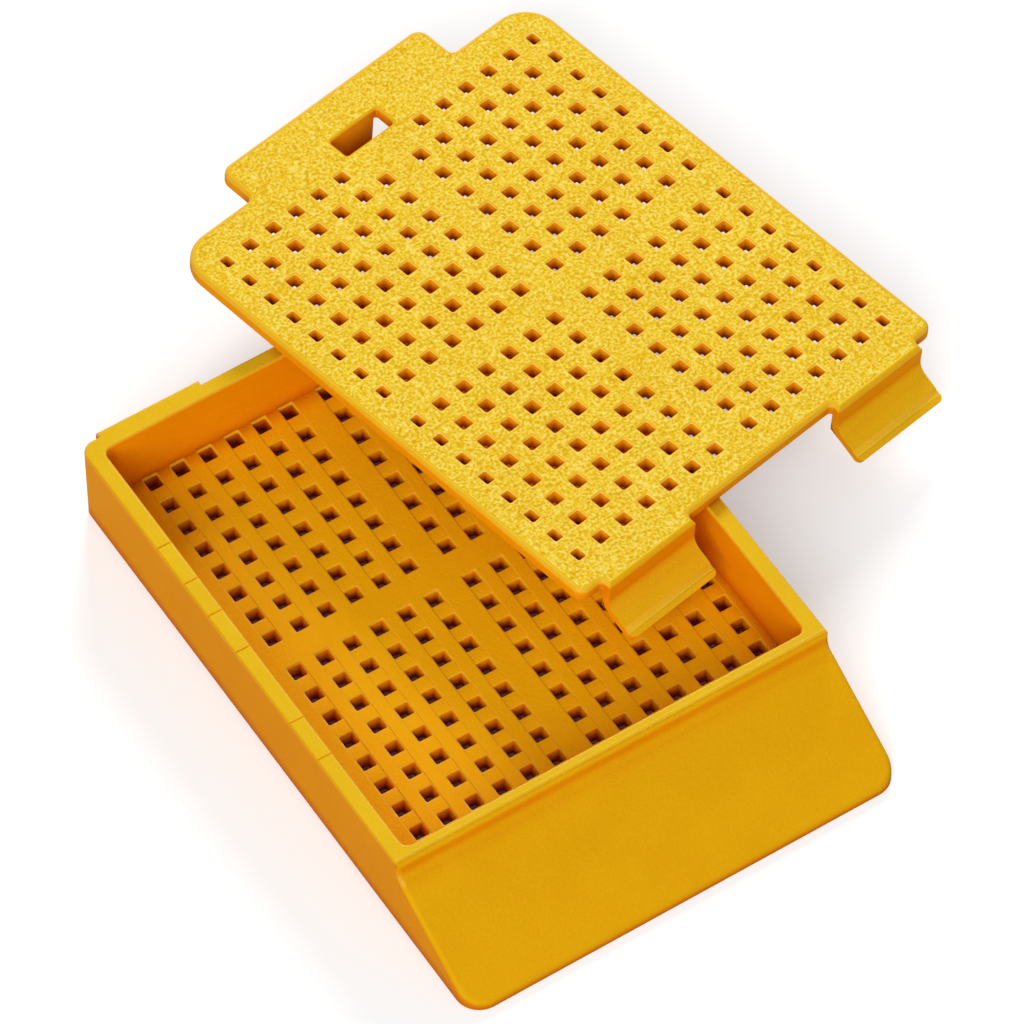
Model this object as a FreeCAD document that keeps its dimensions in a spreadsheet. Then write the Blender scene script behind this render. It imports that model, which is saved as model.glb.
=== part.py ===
"""Tissue cassette: a perforated tray with a slanted writing face, and its snap-on lid lying on it.

Frame: millimetres, +Z up, +Y towards the back wall. The origin is the middle of the tray's
footprint, on the surface that the cassette stands on. Each piece is one injection moulding,
so there are two nodes: tray and lid.
"""
import FreeCAD, Part
import Sketcher
import math
import os
import re

# Driving dimensions, in millimetres and degrees.
SIZES = {
    # Tray: outer box, walls and floor.
    "tray_width": 28.5,
    "tray_length": 34.0,          # front wall to the faces of the back pads
    "tray_height": 5.7,
    "side_wall": 1.07,
    "front_wall": 0.9,
    "back_wall": 1.3,             # pads included
    "floor_thickness": 1.0,
    "back_corner": 0.9,
    "well_corner": 0.5,
    "rim_bevel": 0.16,
    # Back wall: two raised pads with the latch recess between them.
    "pad_relief": 0.32,
    "pad_width": 6.8,
    "pad_inset": 1.35,
    # Slanted writing face in front of the tray.
    "face_reach": 7.4,
    "face_top": 4.55,             # height at which the slope would meet the front wall
    "nose_height": 0.47,
    "nose_corner": 1.5,
    "face_skin": 1.0,
    "face_blend": 0.7,
    "face_edge": 0.3,
    # Perforation: square holes in four blocks. Bars run from front to back, and the cross bars
    # between them lie a little within the thickness of the plate, on both of its faces.
    "hole_pitch": 1.82,
    "hole_margin": 0.02,          # least land between a hole and a wall
    "tray_hole": 0.95,
    "tray_gap_across": 0.72,      # extra width of the bar between the left and right blocks
    "tray_gap_along": 0.91,       # extra width of the bar between the front and back blocks
    "tray_bar_step": 0.1,
    "grid_shift": 1.1,            # middle of the grid behind the middle of the tray
    "lid_hole": 0.84,
    "lid_end_hole": 0.75,         # length of the holes in the first and last rows
    "lid_side_hole": 0.6,         # width of the holes in the outer columns
    "lid_gap_across": 0.95,
    "lid_gap_along": 0.98,
    "lid_bar_step": 0.04,
    # Lid plate, with a finger tab behind it.
    "lid_inset": 0.03,            # plate's side inside the tray's side
    "lid_shift": 0.1,             # closed lid's grid behind the tray's grid
    "lid_thickness": 0.9,
    "lid_overhang": 0.75,         # plate's back edge behind the tray's pads
    "lid_front_corner": 0.7,
    "lid_back_corner": 2.2,
    "lid_edge": 0.3,
    "tab_width": 16.1,
    "tab_reach": 2.74,
    "tab_corner": 0.8,
    "tab_notch": 0.4,
    "slot_width": 3.8,
    "slot_length": 1.47,
    "slot_clearance": 0.15,       # each side of the catch seen through the slot
    # Stiffening ribs under the lid, just inside the tray's side walls.
    "rib_width": 0.4,
    "rib_depth": 1.03,
    "rib_clearance": 0.13,
    "rib_setback": 2.5,           # rib's ends from the plate's front and back edges
    # Hooks at the lid's front edge, and their windows in the tray's front wall.
    "hook_width": 6.8,
    "hook_gap": 0.05,             # between a hook's side and the rib beside it
    "hook_step": 0.66,            # hook's face in front of the plate's edge
    "hook_thickness": 0.5,
    "hook_drop": 1.0,             # underside of the plate to the corner of the bend
    "hook_reach": 2.05,
    "hook_slope": 27.0,
    "hook_bend": 0.9,
    "hook_corner": 0.8,           # corners of the hook's tip
    "hook_clearance": 0.3,        # closed hook to the inside of the front wall
    "window_clearance": 0.2,
    "window_skin": 0.3,           # writing face left above a window
    # Snap catch under the tab, and its nib on the back wall.
    "catch_depth": 2.6,
    "catch_thickness": 0.7,
    "lip_reach": 0.95,
    "lip_height": 0.7,
    "lip_blunt": 0.2,
    "catch_play": 0.15,
    "catch_engagement": 0.18,
    "nib_height": 0.7,
    # How the lid lies, taken off: turned, on the right wall and the back wall.
    "rest_turn": 12.0,
    "rest_overlap": 0.4,          # middle of the lid's grid inside the right wall's face
    "rest_back": 10.63,           # the same point behind the middle of the tray
    "rest_gap": 0.03,
}

NEAR = 1e-4                       # two places nearer than this are the same

# Places worked out from the sizes. Y runs from front to back, Z from the ground up.
# Those of the lid are in its own frame: middle of its grid, underside of its plate.
PLACES = {
    "back_y": "(tray_length + face_reach) / 2",
    "wall_y": "back_y - pad_relief",
    "front_y": "back_y - tray_length",
    "nose_y": "front_y - face_reach",
    "well_back_y": "back_y - back_wall",
    "well_front_y": "front_y + front_wall",
    "well_half": "tray_width / 2 - side_wall",
    "tray_middle_y": "back_y - tray_length / 2",
    "grid_y": "tray_middle_y + grid_shift",
    "closed_y": "grid_y + lid_shift",
    "face_fall": "(face_top - nose_height) / face_reach",
    "face_stretch": "sqrt(1 + face_fall ^ 2)",
    "hollow_top": "face_top - face_skin * face_stretch",
    "tray_columns": "floor((well_half - hole_margin - (tray_gap_across + tray_hole) / 2)"
                    " / hole_pitch + 0.5)",
    "tray_rows": "floor((well_back_y - grid_y - hole_margin - (tray_gap_along + tray_hole) / 2)"
                 " / hole_pitch + 0.5)",
    "lid_half": "tray_width / 2 - lid_inset",
    "lid_back": "back_y + lid_overhang - closed_y",
    "hook_face": "well_front_y + hook_clearance - closed_y",
    "lid_front": "hook_face + hook_step",
    "rib_outer": "well_half - rib_clearance",
    "rib_inner": "rib_outer - rib_width",
    "hook_outer": "rib_inner - hook_gap",
    "hook_inner": "hook_outer - hook_width",
    "lid_columns": "floor((rib_inner - hole_margin - (lid_gap_across + lid_side_hole) / 2)"
                   " / hole_pitch + 0.5)",
    "lid_rows": "floor((lid_back - lid_edge - hole_margin - (lid_gap_along + lid_end_hole) / 2)"
                " / hole_pitch + 0.5)",
    "tray_first_column": "(tray_gap_across + hole_pitch) / 2",
    "tray_first_row": "(tray_gap_along + hole_pitch) / 2",
    "tray_field": "tray_first_row + (tray_rows - 1) * hole_pitch + tray_hole / 2",
    "first_column": "(lid_gap_across + hole_pitch) / 2",
    "first_row": "(lid_gap_along + hole_pitch) / 2",
    "side_column": "first_column + (lid_columns - 1) * hole_pitch",
    "end_row": "first_row + (lid_rows - 1) * hole_pitch",
    "lid_field": "end_row + lid_end_hole / 2",
    "slot_columns": "ceil((slot_width / 2 - first_column + lid_hole / 2) / hole_pitch)",
    "bend_turn": "tan(45 - hook_slope / 2)",
    "hook_tip": "hook_face - hook_reach",
    "hook_tip_top": "-hook_drop - hook_reach * tan(hook_slope)",
    "hook_tip_foot": "hook_tip_top - hook_thickness * cos(hook_slope)",
    "window_head": "face_top - window_skin * face_stretch",
    "window_foot": "tray_height + hook_tip_foot - window_clearance",
    "window_y": "closed_y + hook_tip - window_clearance",
    "lip_top": "lip_height - catch_depth",
    "nib_foot": "tray_height + lip_top + catch_play",
    "nib_reach": "lid_back + closed_y - wall_y - lip_reach + catch_engagement",
}


def bound(text):
    """Writes an expression out in full, each size as a reference to its cell of the sheet."""
    def full(word):
        name = word.group()
        if name in PLACES:
            return "(" + bound(PLACES[name]) + ")"
        return "sizes." + name if name in SIZES else name
    return re.sub(r"[a-z][a-z_]*", full, text)


def value(text):
    """The number that an expression of sizes and places comes to."""
    return float(sheet.evalExpression(bound(text)))


def bind(thing, prop, text):
    thing.setExpression(prop, bound(text))


def make_sheet():
    """Puts every driving dimension in a cell of its own, under its name."""
    table = doc.addObject("Spreadsheet::Sheet", "sizes")
    for row, (name, number) in enumerate(SIZES.items(), start=1):
        table.set(f"A{row}", name)
        table.set(f"B{row}", str(number))
        table.setAlias(f"B{row}", name)
    doc.recompute()
    return table


def make_body(name):
    part = doc.addObject("PartDesign::Body", name)
    part.Label = name
    return part


def plane(part, role):
    return next(item for item in part.Origin.OriginFeatures if item.Role == role)


def make_sketch(part, name, role, **offsets):
    """An empty sketch on one of the body's planes, moved by x, y or z in its own axes."""
    sketch = part.newObject("Sketcher::SketchObject", name)
    sketch.AttachmentSupport = [(plane(part, role), "")]
    sketch.MapMode = "FlatFace"
    for axis, text in offsets.items():
        bind(sketch, f"AttachmentOffset.Base.{axis}", text)
    return sketch


def draw(sketch, *corners):
    """A closed outline of straight lines, each corner placed from the sketch's origin."""
    points = [FreeCAD.Vector(value(across), value(up), 0) for across, up in corners]
    first = sketch.GeometryCount
    for start, end in zip(points, points[1:] + points[:1]):
        sketch.addGeometry(Part.LineSegment(start, end), False)
    for index, (across, up) in enumerate(corners):
        line = first + index
        before = first + (index - 1) % len(corners)
        sketch.addConstraint(Sketcher.Constraint("Coincident", before, 2, line, 1))
        for kind, text, number in (("DistanceX", across, points[index].x),
                                   ("DistanceY", up, points[index].y)):
            place = sketch.addConstraint(Sketcher.Constraint(kind, -1, 1, line, 1, number))
            bind(sketch, f"Constraints[{place}]", text)
    return sketch


def rectangle(sketch, left, right, low, high):
    return draw(sketch, (left, low), (right, low), (right, high), (left, high))


def extrude(part, kind, sketch, length, symmetric=False, reverse=False):
    """A Pad or Pocket of the sketch, which must add or remove some of the body."""
    before = 0 if part.Shape.isNull() else part.Shape.Volume
    feature = part.newObject("PartDesign::" + kind, sketch.Name + kind)
    feature.Profile = sketch
    feature.SideType = "Symmetric" if symmetric else "One side"
    feature.Reversed = reverse
    bind(feature, "Length", length)
    doc.recompute()
    change = part.Shape.Volume - before
    if (change <= 0) if kind == "Pad" else (change >= 0):
        raise RuntimeError(f"{feature.Name} changes nothing")
    return feature


def mirror(part, feature):
    """The same feature on the other side of the body's middle plane."""
    copy = part.newObject("PartDesign::Mirrored", feature.Name + "Mirrored")
    copy.Originals = [feature]
    copy.MirrorPlane = (plane(part, "YZ_Plane"), [""])
    part.Tip = copy
    doc.recompute()
    return copy


def round_edges(part, name, radius, chosen, kind="Fillet"):
    """A fillet or chamfer on every edge of the body so far for which chosen(edge) is true."""
    base = part.Tip
    names = [f"Edge{number}" for number, edge in enumerate(base.Shape.Edges, start=1)
             if chosen(edge)]
    if not names:
        raise RuntimeError(f"{name} finds no edge")
    edging = part.newObject("PartDesign::" + kind, name)
    edging.Base = (base, names)
    bind(edging, "Radius" if kind == "Fillet" else "Size", radius)
    doc.recompute()


def upright(edge):
    start, end = edge.Vertexes[0].Point, edge.Vertexes[-1].Point
    return math.hypot(start.x - end.x, start.y - end.y) < NEAR and abs(start.z - end.z) > NEAR


def near(number, text):
    return abs(number - value(text)) < NEAR


def upright_at(edge, across, along):
    """Whether an edge stands upright at that place in plan, on either side."""
    foot = edge.Vertexes[0]
    return upright(edge) and near(abs(foot.X), across) and near(foot.Y, along)


def across_at(edge, along, up):
    """Whether an edge runs straight across the piece at that place in its side view."""
    return all(near(end.Y, along) and near(end.Z, up) for end in edge.Vertexes)


def repeat(part, feature, sketch, axis, count, *mirrors):
    """Repeats a feature at the pitch of the holes along one axis, then mirrors the whole row."""
    steps = []
    if round(value(count)) > 1:
        pattern = doc.addObject("PartDesign::LinearPattern", feature.Name + "Row")
        pattern.Direction = (sketch, [axis])
        pattern.Mode = "Spacing"
        bind(pattern, "Offset", "hole_pitch")
        bind(pattern, "Occurrences", count)
        steps.append(pattern)
    for mirror_axis in mirrors:
        pattern = doc.addObject("PartDesign::Mirrored", feature.Name + mirror_axis)
        pattern.MirrorPlane = (sketch, [mirror_axis])
        steps.append(pattern)
    pattern = part.newObject("PartDesign::MultiTransform", feature.Name + "Repeat")
    pattern.Originals = [feature]
    pattern.Transformations = steps
    part.Tip = pattern
    doc.recompute()


def cut_columns(part, name, thickness, first, width, front, back, count):
    """Cuts one column open from front to back, and the others like it, left and right."""
    column = rectangle(make_sketch(part, name, "XY_Plane", y=grid_middle(part)),
                       f"{first} - {width} / 2", f"{first} + {width} / 2", front, back)
    cut = extrude(part, "Pocket", column, thickness, reverse=True)
    repeat(part, cut, column, "H_Axis", count, "V_Axis")


def add_cross_bars(part, name, thickness, step, half, low, high, count):
    """Adds one cross bar from side to side, and the others like it, in front and behind."""
    bar = rectangle(make_sketch(part, name, "XY_Plane", y=grid_middle(part), z=step),
                    f"-({half})", half, low, high)
    pad = extrude(part, "Pad", bar, f"{thickness} - 2 * {step}")
    repeat(part, pad, bar, "V_Axis", count, "H_Axis")


def grid_middle(part):
    """The middle of a piece's grid in its own frame."""
    return "grid_y" if part.Label == "tray" else "0"


def make_tray():
    """Base of the cassette: an open perforated box with a slanted writing face before it."""
    tray = make_body("tray")

    side = make_sketch(tray, "Side", "YZ_Plane")
    draw(side, ("wall_y", "0"), ("wall_y", "tray_height"), ("front_y", "tray_height"),
         ("front_y", "face_top"), ("nose_y", "nose_height"), ("nose_y", "0"))
    extrude(tray, "Pad", side, "tray_width", symmetric=True)

    round_edges(tray, "BackCorners", "back_corner",
                lambda edge: upright_at(edge, "tray_width / 2", "wall_y"))
    round_edges(tray, "NoseCorners", "nose_corner",
                lambda edge: upright_at(edge, "tray_width / 2", "nose_y"))
    round_edges(tray, "FaceBlend", "face_blend",
                lambda edge: across_at(edge, "front_y", "face_top"))
    round_edges(tray, "FaceEdge", "face_edge", is_face_edge, "Chamfer")

    well = rectangle(make_sketch(tray, "Well", "XY_Plane", z="floor_thickness"),
                     "-well_half", "well_half", "well_front_y", "well_back_y")
    extrude(tray, "Pocket", well, "tray_height", reverse=True)
    round_edges(tray, "WellCorners", "well_corner",
                lambda edge: upright(edge) and edge.Vertexes[0].Z > value("floor_thickness") - NEAR
                and near(abs(edge.Vertexes[0].X), "well_half"))

    pad = rectangle(make_sketch(tray, "BackPad", "XY_Plane"),
                    "tray_width / 2 - pad_inset - pad_width", "tray_width / 2 - pad_inset",
                    "wall_y - back_wall / 3", "back_y")
    mirror(tray, extrude(tray, "Pad", pad, "tray_height"))

    round_edges(tray, "Rim", "rim_bevel", is_outer_rim, "Chamfer")

    hollow = make_sketch(tray, "Hollow", "YZ_Plane")
    draw(hollow, ("front_y", "0"), ("front_y", "hollow_top"),
         ("front_y - hollow_top / face_fall", "0"))
    extrude(tray, "Pocket", hollow, "2 * well_half", symmetric=True)

    window = make_sketch(tray, "Window", "YZ_Plane", z="hook_inner - window_clearance")
    draw(window, ("well_front_y", "window_foot"),
         ("well_front_y", "window_head + face_fall * front_wall"),
         ("window_y", "window_head + face_fall * (window_y - front_y)"),
         ("window_y", "window_foot"))
    mirror(tray, extrude(tray, "Pocket", window, "hook_width + 2 * window_clearance",
                         reverse=True))

    nib = make_sketch(tray, "Nib", "YZ_Plane")
    draw(nib, ("wall_y - back_wall / 3", "nib_foot"), ("wall_y + nib_reach", "nib_foot"),
         ("wall_y", "nib_foot + nib_height"), ("wall_y - back_wall / 3", "nib_foot + nib_height"))
    extrude(tray, "Pad", nib, "slot_width", symmetric=True)

    cut_columns(tray, "Column", "floor_thickness", "tray_first_column", "tray_hole",
                "-tray_field", "tray_field", "tray_columns")
    half = "tray_first_column + (tray_columns - 1) * hole_pitch + tray_hole / 2 + hole_margin"
    add_cross_bars(tray, "MiddleBar", "floor_thickness", "tray_bar_step", half,
                   "-(tray_first_row - tray_hole / 2)", "tray_first_row - tray_hole / 2", "1")
    add_cross_bars(tray, "CrossBar", "floor_thickness", "tray_bar_step", half,
                   "tray_first_row + tray_hole / 2",
                   "tray_first_row + hole_pitch - tray_hole / 2", "tray_rows - 1")
    return tray


def is_face_edge(edge):
    """The writing face's outer edge: up the front corners, along the slope and round the nose."""
    middle = edge.valueAt((edge.FirstParameter + edge.LastParameter) / 2)
    ends = [end.Point for end in edge.Vertexes]
    at_side = all(near(abs(point.x), "tray_width / 2") for point in [middle] + ends)
    in_front = all(point.y < value("front_y") + NEAR for point in ends)
    above = middle.z > value("nose_height") - NEAR and not upright(edge)
    on_nose = in_front and above and middle.y < value("nose_y + nose_corner")
    on_corner = upright(edge) and near(ends[0].y, "front_y") and at_side
    return on_corner or on_nose or (at_side and in_front and above)


def is_outer_rim(edge):
    """The outer edges of the rim's flat top."""
    middle = edge.valueAt((edge.FirstParameter + edge.LastParameter) / 2)
    outside = (abs(middle.x) > value("well_half") + NEAR or middle.y > value("well_back_y") + NEAR
               or middle.y < value("well_front_y") - NEAR)
    level = all(near(end.Z, "tray_height") for end in edge.Vertexes)
    return level and near(middle.z, "tray_height") and outside


def make_lid():
    """Flat perforated cover with a finger tab, two front hooks, two ribs and a snap catch."""
    lid = make_body("lid")

    plate = make_sketch(lid, "Plate", "XY_Plane")
    draw(plate, ("-lid_half", "lid_front"), ("lid_half", "lid_front"), ("lid_half", "lid_back"),
         ("tab_width / 2", "lid_back"), ("tab_width / 2", "lid_back + tab_reach"),
         ("-tab_width / 2", "lid_back + tab_reach"), ("-tab_width / 2", "lid_back"),
         ("-lid_half", "lid_back"))
    extrude(lid, "Pad", plate, "lid_thickness")
    for name, radius, across, along in (
            ("FrontCorners", "lid_front_corner", "lid_half", "lid_front"),
            ("BackCorners", "lid_back_corner", "lid_half", "lid_back"),
            ("TabCorners", "tab_corner", "tab_width / 2", "lid_back + tab_reach"),
            ("TabNotches", "tab_notch", "tab_width / 2", "lid_back")):
        round_edges(lid, name, radius, lambda edge: upright_at(edge, across, along))

    hook = make_sketch(lid, "Hook", "YZ_Plane", z="hook_inner")
    draw(hook, ("lid_front + lid_edge * 2", "0"), ("lid_front + lid_edge * 2", "lid_thickness"),
         ("hook_face", "lid_thickness"), ("hook_face", "-hook_drop"),
         ("hook_tip", "hook_tip_top"),
         ("hook_tip + hook_thickness * sin(hook_slope)", "hook_tip_foot"),
         ("hook_face + hook_thickness", "-hook_drop - hook_thickness * bend_turn"),
         ("hook_face + hook_thickness", "0"))
    mirror(lid, extrude(lid, "Pad", hook, "hook_width"))
    round_edges(lid, "HookBend", "hook_bend",
                lambda edge: across_at(edge, "hook_face", "-hook_drop"))
    round_edges(lid, "HookBack", "hook_bend + hook_thickness",
                lambda edge: across_at(edge, "hook_face + hook_thickness",
                                       "-hook_drop - hook_thickness * bend_turn"))
    round_edges(lid, "TipCorners", "hook_corner", is_tip_corner)
    round_edges(lid, "TopEdge", "lid_edge",
                lambda edge: all(near(end.Z, "lid_thickness") for end in edge.Vertexes),
                "Chamfer")

    rib = rectangle(make_sketch(lid, "Rib", "XY_Plane"), "rib_inner", "rib_outer",
                    "lid_front + rib_setback", "lid_back - rib_setback")
    mirror(lid, extrude(lid, "Pad", rib, "rib_depth", reverse=True))

    catch = make_sketch(lid, "Catch", "YZ_Plane")
    draw(catch, ("lid_back", "lid_thickness / 2"), ("lid_back", "lip_top"),
         ("lid_back - lip_reach", "lip_top"), ("lid_back - lip_reach", "lip_top - lip_blunt"),
         ("lid_back", "-catch_depth"), ("lid_back + catch_thickness", "-catch_depth"),
         ("lid_back + catch_thickness", "lid_thickness / 2"))
    extrude(lid, "Pad", catch, "slot_width - 2 * slot_clearance", symmetric=True)

    slot = rectangle(make_sketch(lid, "Slot", "XY_Plane"), "-slot_width / 2", "slot_width / 2",
                     "lid_back - slot_length", "lid_back")
    extrude(lid, "Pocket", slot, "lid_thickness", reverse=True)

    for name, first, width, back, count in (
            ("SlotColumn", "first_column", "lid_hole",
             "end_row - hole_pitch + lid_hole / 2", "slot_columns"),
            ("Column", "first_column + slot_columns * hole_pitch", "lid_hole",
             "lid_field", "lid_columns - 1 - slot_columns"),
            ("SideColumn", "side_column", "lid_side_hole", "lid_field", "1")):
        cut_columns(lid, name, "lid_thickness", first, width, "-lid_field", back, count)
    half = "side_column + lid_side_hole / 2 + hole_margin"
    for name, low, high, count in (
            ("MiddleBar", "-(first_row - lid_hole / 2)", "first_row - lid_hole / 2", "1"),
            ("EndBar", "end_row - hole_pitch + lid_hole / 2", "end_row - lid_end_hole / 2", "1"),
            ("CrossBar", "first_row + lid_hole / 2", "first_row + hole_pitch - lid_hole / 2",
             "lid_rows - 2")):
        add_cross_bars(lid, name, "lid_thickness", "lid_bar_step", half, low, high, count)
    return lid


def is_tip_corner(edge):
    """The short edges at the two ends of each hook's tip."""
    heights = sorted(end.Z for end in edge.Vertexes)
    level = len(heights) > 1 and near(heights[0], "hook_tip_foot")
    return level and near(heights[1], "hook_tip_top")


def lay_down(lid):
    """Lays the turned lid on two walls of the tray.

    The underside of its plate bears along the top of the right wall's outer face, and its left
    rib on the inner edge of the back wall, which tips it to the right.
    """
    turn = math.radians(value("rest_turn"))
    across = -value("rest_overlap")
    along = value("tray_middle_y + rest_back")
    rib = -value("rib_inner")
    crossing = (value("well_back_y") - along - rib * math.sin(turn)) / math.cos(turn)
    reach = crossing * math.sin(turn) - rib * math.cos(turn) - across
    tip = math.atan(value("rib_depth") / reach)
    bearing = FreeCAD.Vector(value("tray_width / 2"), 0, value("tray_height + rest_gap"))
    tipped = FreeCAD.Placement(bearing, FreeCAD.Rotation(UP_Y, math.degrees(tip)))
    turned = FreeCAD.Placement(FreeCAD.Vector(across, along, 0),
                               FreeCAD.Rotation(UP_Z, math.degrees(turn)))
    lid.Placement = tipped * turned


def check(parts):
    """Stops on any object that failed, and on any piece that isn't one valid solid."""
    doc.recompute()
    for item in doc.Objects:
        if "Invalid" in item.State or "Error" in item.State:
            raise RuntimeError(f"{item.Label} failed: {item.State}")
    for part in parts:
        if part.Shape.isNull() or not part.Shape.isValid() or len(part.Shape.Solids) != 1:
            raise RuntimeError(f"{part.Label} is not one valid solid")


UP_Y = FreeCAD.Vector(0, 1, 0)
UP_Z = FreeCAD.Vector(0, 0, 1)
doc = FreeCAD.newDocument("tissue_cassette")
sheet = make_sheet()
tray = make_tray()
lid = make_lid()
lay_down(lid)
check([tray, lid])
os.makedirs("parts", exist_ok=True)
for part in (tray, lid):
    part.Shape.exportStep(f"parts/{part.Label}.step")
    box = part.Shape.BoundBox
    print(f"{part.Label}: {part.Shape.Volume:.2f} mm3, x {box.XMin:.2f} to {box.XMax:.2f},"
          f" y {box.YMin:.2f} to {box.YMax:.2f}, z {box.ZMin:.2f} to {box.ZMax:.2f}")
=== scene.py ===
"""Tissue cassette: a perforated tray and its lid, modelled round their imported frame."""
import math

import bpy
from bpy.props import FloatProperty, FloatVectorProperty, IntProperty, PointerProperty
from mathutils import Matrix, Vector


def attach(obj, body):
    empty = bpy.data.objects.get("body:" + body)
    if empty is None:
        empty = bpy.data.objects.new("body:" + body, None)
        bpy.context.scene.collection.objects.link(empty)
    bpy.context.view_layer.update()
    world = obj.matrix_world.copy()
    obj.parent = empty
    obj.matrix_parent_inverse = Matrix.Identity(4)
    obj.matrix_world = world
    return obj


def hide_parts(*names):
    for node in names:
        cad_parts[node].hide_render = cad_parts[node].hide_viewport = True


bl_info = {
    "name": "Tissue cassette",
    "version": (1, 0, 0),
    "blender": (4, 5, 0),
    "location": "View3D > Sidebar > Cassette",
    "description": "Models the perforated tray and lid of a tissue cassette",
    "category": "Object",
}

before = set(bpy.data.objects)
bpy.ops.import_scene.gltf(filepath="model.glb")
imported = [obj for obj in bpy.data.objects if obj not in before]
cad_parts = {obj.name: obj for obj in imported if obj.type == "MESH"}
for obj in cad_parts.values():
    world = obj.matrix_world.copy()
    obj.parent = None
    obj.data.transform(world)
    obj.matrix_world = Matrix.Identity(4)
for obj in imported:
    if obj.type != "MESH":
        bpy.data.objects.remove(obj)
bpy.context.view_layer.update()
MM = 0.001

# Lengths in millimetres
NEAR = 0.002                      # two places nearer than this are the same
PAST = 0.3                        # how far a cutter reaches past the surface it cuts
OVERLAP = 1.0                     # how far the tab and the hooks' roots reach into the plate
NOSE_OVERLAP = 0.4                # how far the nose reaches into the box behind it
NOSE_BELOW = 0.2                  # how far it stays below the rim
RIM_MARKS = (-4.96, -2.06, 3.6, 6.52, 9.09, 11.98)
TINY = 1e-7                       # points nearer than this, in metres, are one

# Angles
FLAT = math.radians(1.0)          # faces that meet at less than this are one flat face
STRAIGHT = math.radians(0.3)      # edges flatter than this are taken out of a face
SQUARE = math.radians(50.0)       # edges sharper than this are softened
BLUNT = math.radians(35.0)        # the same on the catch, whose wedge is blunt
CREASED = math.radians(38.0)      # edges sharper than this are shaded as creases
QUARTER = [math.radians(step) for step in (90, 60, 30, 0)]    # turns of a mouth's rounding

# Which way the flanks of a mark in the rim and the underside of the catch's wedge face
MARK_FLANKS = ((0.0, -0.6, -0.8), (0.0, 0.6, -0.8))
WEDGE = (0.0, -0.5, -0.95)

# Steps that round an edge, from the broadest corners to the finest edges
BROAD = 14
BEND = 10
CORNER = 8
NOTCH = 6
EDGE = 5
RIM = 4
FINE = 3
POST = 2                          # the same on the upright corners of a hole
ROD = 128                         # sides of the rod that cuts a hook's trough
BY_AREA = 100                     # weight that shades a corner by its largest face alone

# Faces that get a finish of their own, in millimetres
STRIP_RISE = 0.1                  # a strip of a rounding rises less than this
STRIP_FACING = (0.15, 0.99)       # how far up it faces: more than upright, less than level
EDGE_STRIP = 0.095                # widest strip of a polished edge
UNDER_STRIP = 0.06                # the same on edges under the lid
MOUTH_STRIP = 0.07                # the same at the mouths of the lid's holes
WALL_RISE = 0.02                  # a face in a hole rises more than this
FLOOR_BAND = 0.15                 # how near the floor's height its faces lie

# Plastic and floor
WHITE = (1.0, 1.0, 1.0)
SMOOTH = 0.03                     # sparkle of a face without the lid's grain
SATIN_GLOSS = 0.03                # mirror light of a face that no shine is asked for
ROUGHNESS = (0.5, 0.65)           # in the hollows of the grain and on its tops
GRAIN_DETAIL = 3.0
CLOUD_DETAIL = 4.0
DIP = (0.5, 1.0, 3.0)             # how strongly the grain's darker hollows, partly painted shade, show in red, green and blue
GLINT = (0.3, 1.0, 8.0)           # the same for the grain's paler tops, partly painted glints
FACING_LIGHT = (0.0, 0.5, 0.9, 0.985)   # how far up a face looks: flank, slope, slope, level, for painted light and shade by facing
HEIGHTS = (0.34, 0.5, 0.68)       # height of the grain: hollow, middle, top
CLOUD = (0.3, 0.7)                # density of the faint clouds: thick, none
HOLLOW_SHADE = (0.0, 0.5, 0.85)         # how open a place is, for painted shade in hollows: closed in, half open, open
DEPTH_SHADE = (0.22, 0.37, 0.55)        # the same from a hole's wall, for painted shade down the holes: bottom, middle, mouth
GAP_SHADE = (0.32, 0.5)                 # the same on the floor, for painted shade: under the tray's holes, free
FLOOR_SHADE_REACH = 5.0 * MM            # how near things stand that cast painted shade on the floor
HOLLOW_SHADE_SAMPLES = 2
DEPTH_SHADE_SAMPLES = 4
FLOOR_SHADE_SAMPLES = 8
LAMPS_AIM = (0.005, 0.007, 0.0)   # middle of the cassette, in metres
CAMERA_SEES = (0.01, 10.0)        # from how near to how far, in metres


def number(name, description, default):
    """A plain number."""
    return FloatProperty(name=name, description=description, default=default)


def size(name, description, default):
    """A size in millimetres."""
    return number(name, description, default)


def metres(name, description, default):
    """A length in metres."""
    return FloatProperty(name=name, description=description, default=default, unit="LENGTH")


def share(name, description, default):
    """A share between nought and one."""
    return FloatProperty(name=name, description=description, default=default,
                         subtype="FACTOR", min=0.0, max=1.0)


def stand(name, description, default):
    """A place in metres where something stands."""
    return FloatVectorProperty(name=name, description=description, default=default,
                               subtype="TRANSLATION", unit="LENGTH")


def angle(name, description, degrees):
    """An angle, given here in degrees."""
    return FloatProperty(name=name, description=description, default=math.radians(degrees),
                         subtype="ANGLE", unit="ROTATION")


def colour(name, description, default):
    """A colour, without its transparency."""
    return FloatVectorProperty(name=name, description=description, subtype="COLOR",
                               default=default, min=0.0, max=1.0)


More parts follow.
